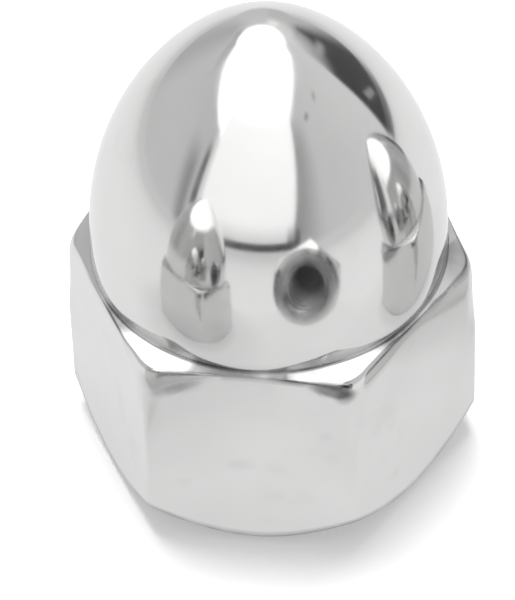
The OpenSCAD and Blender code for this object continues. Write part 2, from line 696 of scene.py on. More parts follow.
    def top_side(self, angles: np.ndarray) -> np.ndarray:
        """Distance of the upright sides from the axis at their top, where polishing rounded them more.

        The ray at an angle f from a corner's bearing meets that corner's arc, of radius r and
        centre c from the axis, at c cos f + sqrt(r^2 - c^2 sin^2 f), and past the arc's end it
        meets the flat.

        Args:
            angles: Angle of each column.

        Returns:
            The distance at each column.
        """
        radius = self.top_edge_radius
        centre = (self.flat_distance - radius) / math.cos(HALF_SIDE)
        from_corner = np.abs((angles + HALF_SIDE) % (2 * HALF_SIDE) - HALF_SIDE)
        arc_end = math.atan2(radius * math.sin(HALF_SIDE), centre + radius * math.cos(HALF_SIDE))
        inside = radius ** 2 - (centre * np.sin(np.minimum(from_corner, arc_end))) ** 2
        on_arc = centre * np.cos(from_corner) + np.sqrt(inside)
        on_flat = self.flat_distance / np.cos(HALF_SIDE - from_corner)
        return np.where(from_corner < arc_end, on_arc, on_flat)

    def crest(self, top_side: np.ndarray) -> np.ndarray:
        """Height where the shoulder's cone would meet the sides sharply.

        Args:
            top_side: Distance of the upright side from the axis at its top, at each column.

        Returns:
            The height at each column.
        """
        slope_tan = math.tan(math.radians(self.shoulder_slope))
        return self.shoulder_height - (top_side - self.dome_base_radius()) * slope_tan

    def flank_centre(self) -> tuple[float, float]:
        """Centre of the dome's flank arc: how far it lies beyond the axis, and its height.

        The flank is widest one inset inside the flats, and it holds the nose's smaller circle
        tangent inside its own, so their centres lie one difference of radii apart.
        """
        beyond = self.flank_radius - self.flat_distance + self.dome_inset
        nose_z = self.total_height - self.nose_radius
        return beyond, nose_z - math.sqrt((self.flank_radius - self.nose_radius) ** 2 - beyond ** 2)

    def dome_base_radius(self) -> float:
        """Radius of the dome's flank where it meets the shoulder."""
        beyond, flank_z = self.flank_centre()
        return math.sqrt(self.flank_radius ** 2 - (flank_z - self.shoulder_height) ** 2) - beyond

    def foot_rows(self, side: np.ndarray) -> list[tuple]:
        """Section of the bearing face's edge and the foot's chamfer, up to the upright side.

        Straight stretches meet in tangent arcs. A rounding of radius r between two lines that
        turn by an angle t touches each line r tan(t / 2) from the sharp corner.

        Args:
            side: Distance of the upright side from the axis at each column.

        Returns:
            Distance from the axis and height of each row.
        """
        grid = self.outer_grid
        foot_tan = math.tan(math.radians(self.foot_slope))
        bearing_radius = self.flat_distance - self.foot_height / foot_tan
        seat_reach = self.seat_edge_radius * math.tan(math.radians(self.foot_slope / 2))
        seat_centre = (bearing_radius - seat_reach, self.seat_edge_radius)
        rows = [(bearing_radius - inset, 0.0) for inset in grid.seat_rings]
        rows += arc(seat_centre, self.seat_edge_radius, -90.0, self.foot_slope - 90.0, grid.seat_edge)

        foot_turn = 90.0 - self.foot_slope
        foot_reach = self.foot_edge_radius * math.tan(math.radians(foot_turn / 2))
        foot_top = (side - bearing_radius) * foot_tan
        foot_centre = (side - self.foot_edge_radius, foot_top + foot_reach)
        foot_arc = arc(foot_centre, self.foot_edge_radius, -foot_turn, 0.0, grid.foot_edge)
        return rows + straight(rows[-1], foot_arc[0], grid.foot_shares) + foot_arc

    def crevice_arc(self) -> tuple[list[tuple], float]:
        """Section of the crevice between the shoulder and the dome.

        The arc touches the shoulder's line and the flank's circle from outside: its centre lies
        one radius above the line and one radius out from the circle.

        Returns:
            Distance from the axis and height of each row, and the angle in degrees at which the
            flank's circle is met.
        """
        flank_offset, flank_z = self.flank_centre()
        slope, radius = math.radians(self.shoulder_slope), self.crevice_radius
        start_x = self.dome_base_radius() + radius * math.sin(slope) + flank_offset
        start_z = self.shoulder_height + radius * math.cos(slope) - flank_z
        toward = start_x * math.cos(slope) - start_z * math.sin(slope)
        excess = start_x ** 2 + start_z ** 2 - (self.flank_radius + radius) ** 2
        shift = -toward + math.sqrt(toward ** 2 - excess)
        centre_x = start_x + shift * math.cos(slope) - flank_offset
        centre_z = start_z - shift * math.sin(slope) + flank_z
        flank_start = math.degrees(math.atan2(centre_z - flank_z, centre_x + flank_offset))
        start, end = -90.0 - self.shoulder_slope, flank_start - 180.0
        return arc((centre_x, centre_z), radius, start, end, self.outer_grid.crevice), flank_start

    def dome_rows(self, flank_start: float) -> list[tuple]:
        """Section of the dome: the flank's arc, finely divided at its root, and the nose's arc.

        Args:
            flank_start: Angle in degrees at which the flank's circle is met.

        Returns:
            Distance from the axis and height of each row, without the first and the tip.
        """
        grid = self.outer_grid
        flank_offset, flank_z = self.flank_centre()
        nose_z = self.total_height - self.nose_radius
        centre, root_end = (-flank_offset, flank_z), flank_start + grid.dome_root_span
        seam = math.degrees(math.atan2(nose_z - flank_z, flank_offset))
        root = arc(centre, self.flank_radius, flank_start, root_end, grid.dome_root)
        flank = arc(centre, self.flank_radius, root_end, seam, grid.flank)
        nose = arc((0.0, nose_z), self.nose_radius, seam, 90.0, grid.nose)
        return root[1:] + flank[1:] + nose[1:-1]

    def section(self, side: np.ndarray, top_side: np.ndarray, ease: np.ndarray) -> list[tuple]:
        """Outer half section at every column, from the bearing face up to the dome's nose.

        The shoulder's roll-over into the side takes no more than its share of the room that the
        crevice leaves it.

        Args:
            side: Distance of the upright side from the axis at each column.
            top_side: The same at its top, which the side leans in to from the height lean_start.
            ease: Easing of the shoulder into the flat at each column.

        Returns:
            Distance from the axis and height of each row, as numbers or one value per column.
        """
        grid = self.outer_grid
        rows = self.foot_rows(side)
        crevice, flank_start = self.crevice_arc()
        slope = math.radians(self.shoulder_slope)
        crest_z = self.crest(top_side)
        room = self.edge_room_share * (top_side - crevice[0][0]) / math.cos(slope)
        below = self.edge_reach + (self.corner_reach_below - self.edge_reach) * ease
        above = np.minimum(self.edge_reach + (self.corner_reach_above - self.edge_reach) * ease, room)
        crest_low = (top_side, crest_z - below)
        crest_high = (top_side - above * math.cos(slope), crest_z + above * math.sin(slope))
        shares = tuple(np.linspace(0.0, 1.0, grid.side + 1)[1:-1])
        rows += [
            (side - (side - top_side) * smooth_step(height, self.lean_start, crest_low[1]), height)
            for _, height in straight(rows[-1], (side, crest_low[1]), shares)
        ]
        rows += roll_over(crest_low, (top_side, crest_z), crest_high, grid.crest)
        rows += straight(rows[-1], crevice[0], grid.shoulder_shares) + crevice
        return rows + self.dome_rows(flank_start)

    def painted_shade_and_stains(
        self, angles: np.ndarray, offsets: np.ndarray, distance: np.ndarray, height: np.ndarray
    ) -> np.ndarray:
        """Painted shade and painted reflection in the crevice, along the crisp edges and in marks, with
        specks of wear.

        Each line's painted shade is full on the line and fades to nothing with the distance from it in
        the section plane. It is left off eased edges, and is weaker in the crevice beside them. On one
        flat, where the shoulder is narrow, its strip is painted dark throughout.

        Args:
            angles: Angle of each column.
            offsets: Signed distance of each column from the middle of its flat.
            distance: Distance of each vertex from the axis, by row and column.
            height: Height of each vertex.

        Returns:
            The painted shade and wear at each vertex, from 0 to 1.
        """
        dome, top_side, ease = self.dome_base_radius(), self.top_side(angles), self.easing(angles, offsets)
        side, crest_z = distance.max(axis=0), self.crest(top_side)
        foot = self.foot_height + (side - self.flat_distance) * math.tan(math.radians(self.foot_slope))
        from_crevice = np.hypot(distance - dome, height - self.shoulder_height)
        crevice = self.crevice_share * (1.0 - smooth_step(from_crevice, *self.crevice_shade))
        crevice = crevice * (1.0 - (1.0 - self.eased_share) * ease)
        haze = self.haze_share * (1.0 - smooth_step(from_crevice, *self.crevice_shade_haze))
        crest = 1.0 - smooth_step(np.hypot(distance - top_side, height - crest_z), *self.edge_shade)
        crest = self.crest_share * crest * (1.0 - ease)
        rim = 1.0 - smooth_step(np.hypot(distance - side, height - foot), *self.edge_shade)
        rim = self.rim_share * rim
        on_shoulder = (distance > dome) & (height > crest_z)
        on_shoulder &= height < self.shoulder_height + self.crevice_radius
        on_strip = on_shoulder & self.on_flat(angles, self.strip_flat)
        strip = on_strip * (1.0 - smooth_step(np.abs(offsets - self.strip_middle), *self.strip_reach))
        strip = self.strip_share * strip
        strongest = np.maximum.reduce(np.broadcast_arrays(crevice, haze, crest, strip, rim))

        x, y = distance * np.cos(angles), distance * np.sin(angles)
        near = self.marked_share * self.flat_distance
        marks = sum(mark.cover(x, y, height, near) for mark in self.marks)
        return np.minimum(strongest + marks, 1.0)

    def outer_shell(self) -> tuple[np.ndarray, list[np.ndarray], np.ndarray, np.ndarray]:
        """Outside of the nut: the section's rows at every column of the plan.

        Returns:
            Vertices with the nose's tip last, faces, the angle of each column, and the painted shade
            and wear of each vertex.
        """
        angles, side, offsets = self.outline()
        rows = self.section(side, self.top_side(angles), self.easing(angles, offsets))
        distance = np.array([np.broadcast_to(row[0], side.shape) for row in rows])
        height = np.array([np.broadcast_to(row[1], side.shape) for row in rows])
        points = np.stack([distance * np.cos(angles), distance * np.sin(angles), height], -1).reshape(-1, 3)
        points = np.concatenate([points, [[0.0, 0.0, self.total_height]]])
        shade_and_stain = np.append(self.painted_shade_and_stains(angles, offsets, distance, height).ravel(), 0.0)
        columns = len(angles)
        last_ring = (len(rows) - 1) * columns + np.arange(columns)
        return points, [grid_quads(0, len(rows), columns), fan(last_ring, len(points) - 1)], angles, shade_and_stain

    def hole_radius(self, angle: np.ndarray, height: np.ndarray) -> np.ndarray:
        """Distance of the hole's wall from the axis over the threaded stretch.

        The thread is a right-hand 60 degree V that climbs one pitch a turn: its depth falls off
        along the flanks with the distance from the middle of the root, the tap's taper limits
        it towards the end, and the lead-in cone cuts it back at the mouth.

        Args:
            angle: Angle round the axis.
            height: Height above the bearing face.

        Returns:
            The wall's distance from the axis.
        """
        thread = self.thread
        phase = height / thread.pitch - angle / FULL_TURN
        from_root = np.abs(phase - np.floor(phase) - self.hole_grid.root_phase) * thread.pitch
        depth = thread.nominal_radius - thread.drill_radius
        flank = depth * math.tan(math.radians(thread.flank_angle))
        root_half = thread.root_flat_share * thread.pitch / 2
        cut = depth * np.clip(1.0 - (from_root - root_half) / flank, 0.0, 1.0)
        taper_length = thread.tap_taper_turns * thread.pitch
        taper = depth * np.clip((thread.tapped_length - height) / taper_length, 0.0, 1.0)
        return np.maximum(thread.drill_radius + np.minimum(cut, taper), thread.lead_in_radius - height)

    def inner_shell(self) -> tuple[np.ndarray, list[np.ndarray], np.ndarray]:
        """Wall of the tapped hole and the drill's point.

        The threaded stretch is a grid sheared along the helix, so its rows follow the thread's
        edges: each row climbs one pitch in a turn and runs on into the row one pitch above.
        Rows that pass the mouth or the tapped length are held there, where they weld to a ring.

        Returns:
            Vertices, faces, and the angle of each column.
        """
        thread, grid = self.thread, self.hole_grid
        angles = np.arange(grid.columns) * FULL_TURN / grid.columns
        ups = np.array(grid.thread_rows)
        phases = grid.root_phase + np.concatenate([-ups[:0:-1], ups])
        pattern = len(phases)
        turns = math.ceil(thread.tapped_length / thread.pitch) + grid.turns_below + grid.turns_beyond
        starts = (np.arange(turns)[:, None] + phases[None, :]).ravel() - grid.turns_below
        height = (starts[:, None] + angles / FULL_TURN) * thread.pitch
        height = np.clip(height, 0.0, thread.tapped_length)
        distance = self.hole_radius(np.broadcast_to(angles, height.shape), height)
        rows, columns = height.shape

        row, column = np.meshgrid(np.arange(rows - 1), np.arange(columns), indexing="ij")
        wraps = column == columns - 1
        beside_row = row + np.where(wraps, pattern, 0)
        keep = beside_row + 1 < rows
        here = (row * columns + column)[keep]
        beside = (beside_row * columns + (column + 1) % columns)[keep]
        quads = np.stack([here, here + columns, beside + columns, beside], -1)

        thread_points = np.stack([distance * np.cos(angles), distance * np.sin(angles), height], -1)
        low_rings = [(thread.lead_in_radius + outset, 0.0) for outset in grid.mouth_rings]
        wall_start = (thread.drill_radius, thread.tapped_length)
        wall_end = (thread.drill_radius, thread.drill_wall_end)
        tip_place = (0.0, thread.drill_tip)
        high_rings = straight(wall_start, wall_end, grid.wall_shares)
        high_rings += straight(wall_end, tip_place, grid.point_shares)
        rings = [
            np.stack([r * np.cos(angles), r * np.sin(angles), np.full(columns, z)], -1)
            for r, z in low_rings + high_rings
        ]
        tip_point = [[0.0, 0.0, thread.drill_tip]]
        points = np.concatenate([np.concatenate(rings), thread_points.reshape(-1, 3), tip_point])
        ring_count = len(rings) * columns
        low = grid_quads(0, len(low_rings), columns)[:, ::-1]
        high = grid_quads(len(low_rings) * columns, len(high_rings), columns)[:, ::-1]
        tip = fan(ring_count - columns + np.arange(columns), len(points) - 1)[:, ::-1]
        return points, [low, high, tip, quads + ring_count], angles

    def build(self) -> bpy.types.Object:
        """Builds the nut as one closed mesh, dresses it and puts it on its body.

        Returns:
            The finished piece.
        """
        outer, outer_faces, outer_angles, outer_shade_and_stain = self.outer_shell()
        inner, inner_faces, inner_angles = self.inner_shell()
        shift = len(outer)
        seat = zip_rings(
            np.arange(len(outer_angles)), outer_angles, shift + np.arange(len(inner_angles)), inner_angles
        )
        points = np.concatenate([outer, inner])
        bare = smooth_step(inner[:, 2], *self.bare_depth)
        numbers = {
            BORE_ATTRIBUTE: np.concatenate([np.zeros(shift), bare]),
            # The plated mouth of the hole is darkened and dulled, fading out where the bare steel begins.
            SHADE_AND_STAIN_ATTRIBUTE: np.concatenate([outer_shade_and_stain, self.mouth_share * (1.0 - bare)]),
        }
        faces = outer_faces + [group + shift for group in inner_faces] + [seat]
        piece = build_object("chrome_cap_nut", points, faces, numbers)
        piece.data.materials.append(self.finish.build())
        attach(piece, BODY)
        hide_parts(NODE)
        triangles = sum(len(polygon.vertices) - 2 for polygon in piece.data.polygons)
        LOG.info("piece %s: %d triangles", piece.name, triangles)
        return piece


# ---------------------------------------------------------------- studio


@dataclass(frozen=True)
class ViewPoint:
    """Camera place and aim, in metres and degrees. Azimuth 0 stands on +X and 90 on +Y."""

    azimuth: float = -82.055
    elevation: float = 45.41
    distance: float = 178.84 * MM
    aim_height: float = 8.574 * MM
    lens: float = 271.4
    yaw: float = 0.172
    pitch: float = -0.448
    roll: float = -1.757
    nearest: float = 0.01
    farthest: float = 20.0

    def build(self) -> bpy.types.Object:
        """Makes the camera and gives it to the scene.

        Returns:
            The camera.
        """
        turn, lift = math.radians(self.azimuth), math.radians(self.elevation)
        back = Vector((math.cos(turn) * math.cos(lift), math.sin(turn) * math.cos(lift), math.sin(lift)))
        right = Vector((-math.sin(turn), math.cos(turn), 0.0))
        up = back.cross(right)
        level = Matrix((right, up, back)).transposed()
        nudge = (
            Matrix.Rotation(math.radians(self.yaw), 3, "Y")
            @ Matrix.Rotation(math.radians(self.pitch), 3, "X")
            @ Matrix.Rotation(math.radians(self.roll), 3, "Z")
        )
        data = bpy.data.cameras.new("studio_camera")
        data.lens = self.lens
        data.clip_start = self.nearest
        data.clip_end = self.farthest
        camera = bpy.data.objects.new("studio_camera", data)
        camera.matrix_world = Matrix.LocRotScale(
            Vector((0.0, 0.0, self.aim_height)) + back * self.distance, level @ nudge, None
        )
        bpy.context.scene.collection.objects.link(camera)
        bpy.context.scene.camera = camera
        return camera

    def toward(self, bearing: float) -> Vector:
        """Level direction at a bearing: 0 towards the camera's side, rising to the camera's right."""
        angle = math.radians(self.azimuth + bearing)
        return Vector((math.cos(angle), math.sin(angle), 0.0))


class Seen(Enum):
    """What may see a staged object."""

    MIRRORED = "only the chrome's reflections"
    ALL = "camera, reflections and light"


@dataclass(frozen=True)
class Card:
    """A flat card of the light tent, seen only in the chrome.

    Corners run low left, low right, high right, high left, and so do the tones at them. A flat
    card's corners are (across, back, height) in metres: across rises to the camera's right and
    back rises away from the camera. A fleeting card shows in the chrome but not in the chrome's
    own reflection.
    """

    name: str
    corners: tuple[tuple[float, ...], ...]
    tones: tuple[float, float, float, float]
    softness: tuple[float, float, float, float] = (0.03, 0.03, 0.03, 0.03)
    fleeting: bool = False
    steps: int = 32

    def place(self, spots: np.ndarray, view: ViewPoint) -> np.ndarray:
        """Carries spots of the card into the scene.

        Args:
            spots: Mixes of the corners, one row each.
            view: Gives the directions that the corners are measured along.

        Returns:
            Places in the scene, in metres.
        """
        right, away = np.array(view.toward(90.0)), np.array(view.toward(180.0))
        return spots[:, :1] * right + spots[:, 1:2] * away + spots[:, 2:] * np.array([0.0, 0.0, 1.0])

    def build(self, view: ViewPoint) -> bpy.types.Object:
        """Makes the card as a grid that blends between its corners.

        A spot is the bilinear mix of the four corners, and so is its tone. The cover falls from
        1 to 0 towards each edge over that edge's softness, given as a share of the card and in
        the order left, right, low, high.

        Args:
            view: Gives the directions that the corners are measured along.

        Returns:
            The card.
        """
        line = np.linspace(0.0, 1.0, self.steps + 1)
        across, up = (axis.reshape(-1, 1) for axis in np.meshgrid(line, line, indexing="xy"))
        shares = np.hstack([(1 - across) * (1 - up), across * (1 - up), across * up, (1 - across) * up])
        points = self.place(shares @ np.array(self.corners), view)
        left_soft, right_soft, low_soft, high_soft = self.softness
        cover = (
            smooth_step(across, -HAIR, left_soft) * smooth_step(1 - across, -HAIR, right_soft)
            * smooth_step(up, -HAIR, low_soft) * smooth_step(1 - up, -HAIR, high_soft)
        )
        row, column = np.meshgrid(np.arange(self.steps), np.arange(self.steps), indexing="ij")
        here = row * (self.steps + 1) + column
        quads = np.stack([here, here + 1, here + self.steps + 2, here + self.steps + 1], -1).reshape(-1, 4)
        fleeting = np.full(len(points), float(self.fleeting))
        numbers = {
            COVER_ATTRIBUTE: cover.ravel(),
            TONE_ATTRIBUTE: shares @ np.array(self.tones),
            FLEETING_ATTRIBUTE: fleeting,
        }
        card = build_object(self.name, points, [quads], numbers)
        card.data.materials.append(card_material())
        stage(card, Seen.MIRRORED)
        return card


@dataclass(frozen=True)
class CurvedCard(Card):
    """A card bent round the nut. Its corners are (bearing, elevation) in degrees.

    Bearings are 0 towards the camera's side and rise to the camera's right. Elevations are
    measured at mid-dome height.
    """

    distance: float = 0.32
    level: float = 13.0 * MM

    def place(self, spots: np.ndarray, view: ViewPoint) -> np.ndarray:
        """Carries spots of the card onto a sphere round the dome.

        Args:
            spots: Bearing and elevation of each spot, in degrees.
            view: Gives the direction that bearings are measured from.

        Returns:
            Places in the scene, in metres.
        """
        bearing, elevation = np.radians(spots[:, 0] + view.azimuth), np.radians(spots[:, 1])
        level, up = np.cos(elevation), np.sin(elevation)
        out = np.stack([np.cos(bearing) * level, np.sin(bearing) * level, up], -1)
        return self.distance * out + np.array([0.0, 0.0, self.level])


@dataclass(frozen=True)
class RoundCard(Card):
    """A flat overhead card cut round. Its corners are (bearing, reach from the centre).

    Bearings are 0 towards the camera's side and rise to the camera's right, so 180 is away.
    """

    centre: tuple[float, float] = (0.0, 0.0)
    height: float = 0.3

    def place(self, spots: np.ndarray, view: ViewPoint) -> np.ndarray:
        """Carries spots of the card onto its level plane.

        Args:
            spots: Bearing in degrees and reach in metres of each spot.
            view: Gives the directions that bearings and the centre are measured along.

        Returns:
            Places in the scene, in metres.
        """
        bearing = np.radians(spots[:, 0])
        across = self.centre[0] + spots[:, 1] * np.sin(bearing)
        away = self.centre[1] - spots[:, 1] * np.cos(bearing)
        return super().place(np.stack([across, away, np.full(len(spots), self.height)], -1), view)


def repeat_gain(board: NodeBoard) -> tuple[Socket, Socket]:
    """Tells staging how it is being mirrored.

    Args:
        board: The staging material's nodes.

    Returns:
        1 where the chrome mirrors its own reflection, else 0; and the gain of the staging's tone:
        1 in a first reflection, REPEAT_GAIN in the next, and 0 once light has scattered.
    """
    rays = board.add("LightPath").outputs
    again = board.math("GREATER_THAN", rays["Glossy Depth"], AFTER_FIRST)
    gain = board.math("ADD", 1.0, board.times(again, REPEAT_GAIN - 1.0))
    return again, board.times(gain, board.math("LESS_THAN", rays["Diffuse Depth"], UNSCATTERED))


def card_material() -> bpy.types.Material:
    """The tent cards' shared material: glows at the mesh's tone where its cover is 1."""
    known = bpy.data.materials.get("tent_card")
    if known:
        return known
    material = bpy.data.materials.new("tent_card")
    material.use_nodes = True
    board = NodeBoard(material.node_tree)
    again, direct = repeat_gain(board)
    level = board.times(direct, TENT_LEVEL)
    glow = board.add("Emission", {"Strength": board.times(board.attribute(TONE_ATTRIBUTE), level)})
    gone = board.times(again, board.attribute(FLEETING_ATTRIBUTE))
    cover = board.times(board.attribute(COVER_ATTRIBUTE), board.math("SUBTRACT", 1.0, gone))
    clear = board.add("BsdfTransparent")
    mixed = board.add("MixShader", {0: cover, 1: clear.outputs[0], 2: glow.outputs[0]})
    board.add("OutputMaterial", {"Surface": mixed.outputs[0]})
    return material


def stage(thing: bpy.types.Object, seen: Seen) -> None:
    """Sets which rays meet a staging object.

    Args:
        thing: Floor, card or other staging.
        seen: What may see it.
    """
    if seen is Seen.MIRRORED:
        thing.visible_camera = False
        thing.visible_diffuse = False
        thing.visible_shadow = False
        thing.visible_transmission = False
        thing.visible_volume_scatter = False


@dataclass(frozen=True)
class Shade:
    """A soft change of the floor's mirrored tone with the distance from a spot, in metres.

    The tone is multiplied by the inner share up to the near distance and by the outer share
    from the far one.
    """

    near: float
    far: float
    inner: float
    outer: float = 1.0

    def build(self, board: NodeBoard, distance: Number, tone: Number) -> Socket:
        """Dims a tone by the shade.

        Args:
            board: The floor material's nodes.
            distance: Distance from the spot.
            tone: The tone before.

        Returns:
            The dimmed tone's socket.
        """
        return board.times(tone, board.spread(distance, (self.near, self.far), (self.inner, self.outer)))


@dataclass(frozen=True)
class MirroredForm:
    """A form beside the nut that only the chrome sees. Turns are in degrees, lengths in metres.

    A form that lies has its open end towards the nut, swung aside by the facing.
    """

    name: str
    bearing: float
    distance: float
    turn: float
    facing: float = 0.0
    lies: bool = False
    lying_height: float = 8.3 * MM
    floor_shade: float = 0.93
    shade_reach: tuple[float, float] = (8.0 * MM, 16.0 * MM)
    contact_shade: float = 0.86
    contact_reach: tuple[float, float] = (7.4 * MM, 9.2 * MM)

    def shades(self) -> list[Shade]:
        """The floor's shades round the form: a broad one, and one where a standing form meets it."""
        broad = Shade(*self.shade_reach, self.floor_shade)
        return [broad] if self.lies else [broad, Shade(*self.contact_reach, self.contact_shade)]

    def spot(self, view: ViewPoint) -> Vector:
        """Place of the form on the floor."""
        return view.toward(self.bearing) * self.distance

    def placing(self, view: ViewPoint) -> Matrix:
        """Works out how the form stands, or lies with its open end towards the nut.

        Args:
            view: Gives the direction that bearings are measured from.

        Returns:
            The form's matrix.
        """
        turn = Matrix.Rotation(math.radians(self.turn), 3, "Z")
        if not self.lies:
            return Matrix.LocRotScale(self.spot(view), turn, None)
        up, out = Vector((0.0, 0.0, 1.0)), view.toward(self.bearing + self.facing)
        tipped = Matrix((up.cross(out), up, out)).transposed()
        return Matrix.LocRotScale(self.spot(view) + up * self.lying_height, tipped @ turn, None)


@dataclass(frozen=True)
class KeyLamp:
    """The soft lamp, an oval nearly overhead, a little back and left. In metres, degrees and watts."""

    width: float = 0.182
    depth: float = 0.145
    energy: float = 1.084
    bearing: float = -164.7
    reach: float = 0.0728
    height: float = 0.3

    def build(self, view: ViewPoint) -> bpy.types.Object:
        """Hangs the lamp, which the chrome doesn't see, for the floor's shadow.

        Args:
            view: Gives the direction that the bearing is measured from.

        Returns:
            The lamp.
        """
        data = bpy.data.lights.new("key_lamp", "AREA")
        data.shape = "ELLIPSE"
        data.size = self.width
        data.size_y = self.depth
        data.energy = self.energy
        place = view.toward(self.bearing) * self.reach + Vector((0.0, 0.0, self.height))
        lamp = bpy.data.objects.new("key_lamp", data)
        lamp.matrix_world = Matrix.LocRotScale(place, place.to_track_quat("Z", "Y"), None)
        lamp.visible_glossy = False
        bpy.context.scene.collection.objects.link(lamp)
        return lamp


@dataclass(frozen=True)
class PaleFloor:
    """A wide flat ring of pale floor, open under the bearing face so the foot shows from below.

    The glow lifts it to white for the camera, and the shades dim it where the chrome mirrors it:
    far off, round the nut and in the dark line where the nut meets it.
    """

    rings: tuple[float, ...] = (6.3 * MM, 20.0 * MM, 200.0 * MM, 3.0)
    columns: int = 96
    glow: float = 0.392
    albedo: float = 0.8
    shades: tuple[Shade, ...] = (
        Shade(30.0 * MM, 250.0 * MM, 1.0, 0.75),
        Shade(13.0 * MM, 19.0 * MM, 0.965),
        Shade(7.3 * MM, 11.0 * MM, 0.92),
        Shade(6.95 * MM, 7.1 * MM, 0.1),
    )

    def mirrored_tone(self, board: NodeBoard, forms: tuple[MirroredForm, ...], view: ViewPoint) -> Socket:
        """Works out how pale the chrome sees the floor: the product of all its shades.

        Args:
            board: The material's nodes.
            forms: The forms that stand or lie on the floor.
            view: Gives the direction that their bearings are measured from.

        Returns:
            The tone's socket.
        """
        place = board.add("TexCoord").outputs["Object"]
        away = board.add("VectorMath", {0: place}, operation="LENGTH").outputs["Value"]
        tone: Number = 1.0
        for shade in self.shades:
            tone = shade.build(board, away, tone)
        for form in forms:
            spots = {0: place, 1: form.spot(view)}
            gap = board.add("VectorMath", spots, operation="DISTANCE").outputs["Value"]
            for shade in form.shades():
                tone = shade.build(board, gap, tone)
        return tone

    def material(self, forms: tuple[MirroredForm, ...], view: ViewPoint) -> bpy.types.Material:
        """White floor: shaded where the camera sees it, pale with painted shadows where the chrome mirrors
        it.

        Args:
            forms: The forms that stand or lie on the floor.
            view: Gives the direction that their bearings are measured from.

        Returns:
            The floor's material, clear from below.
        """
        material = bpy.data.materials.new("pale_floor")
        material.use_nodes = True
        board = NodeBoard(material.node_tree)
        rays = board.add("LightPath").outputs
        mirrored = board.math("MAXIMUM", rays["Is Glossy Ray"], rays["Is Transmission Ray"])
        lit = board.add("BsdfDiffuse", {"Color": grey(self.albedo)})
        glow = board.add("Emission", {"Strength": board.times(rays["Is Camera Ray"], self.glow)})
        seen = board.add("AddShader", {0: lit.outputs[0], 1: glow.outputs[0]})
        tone = self.mirrored_tone(board, forms, view)
        mirror = board.add("Emission", {"Strength": board.times(tone, repeat_gain(board)[1])})
        either = board.add("MixShader", {0: mirrored, 1: seen.outputs[0], 2: mirror.outputs[0]})
        below = board.add("NewGeometry").outputs["Backfacing"]
        clear = board.add("BsdfTransparent")
        sided = board.add("MixShader", {0: below, 1: either.outputs[0], 2: clear.outputs[0]})
        board.add("OutputMaterial", {"Surface": sided.outputs[0]})
        return material

    def build(self, forms: tuple[MirroredForm, ...], view: ViewPoint) -> bpy.types.Object:
        """Makes the floor: rings of vertices at height 0, each row of the grid one ring.

        Args:
            forms: The forms that stand or lie on the floor.
            view: Gives the direction that their bearings are measured from.

        Returns:
            The floor.
        """
        angles = np.arange(self.columns) * FULL_TURN / self.columns
        across, along = np.outer(self.rings, np.cos(angles)), np.outer(self.rings, np.sin(angles))
        points = np.stack([across, along, np.zeros_like(across)], -1).reshape(-1, 3)
        floor = build_object("pale_floor", points, [grid_quads(0, len(self.rings), self.columns)[:, ::-1]])
        floor.data.materials.append(self.material(forms, view))
        stage(floor, Seen.ALL)
        return floor


@dataclass(frozen=True)
class World:
    """Surroundings: white to the camera, a pale tent wall to the chrome, soft fill for the rest."""

    wall_tone: float = 0.89
    fill_tone: float = 0.46

    def build(self) -> bpy.types.World:
        """Makes the world and gives it to the scene.

        Returns:
            The world.
        """
        world = bpy.data.worlds.new("studio_world")
        bpy.context.scene.world = world
        world.use_nodes = True
        board = NodeBoard(world.node_tree)
        rays = board.add("LightPath").outputs
        direct = board.math("LESS_THAN", rays["Diffuse Depth"], UNSCATTERED)
        wall = board.times(rays["Is Glossy Ray"], direct, self.wall_tone)
        fill = board.times(board.math("SUBTRACT", 1.0, rays["Is Glossy Ray"]), self.fill_tone)
        strength = board.math("MAXIMUM", board.math("MAXIMUM", rays["Is Camera Ray"], wall), fill)
        background = board.add("Background", {"Color": WHITE, "Strength": strength})
        board.add("OutputWorld", {"Surface": background.outputs[0]})
        return world


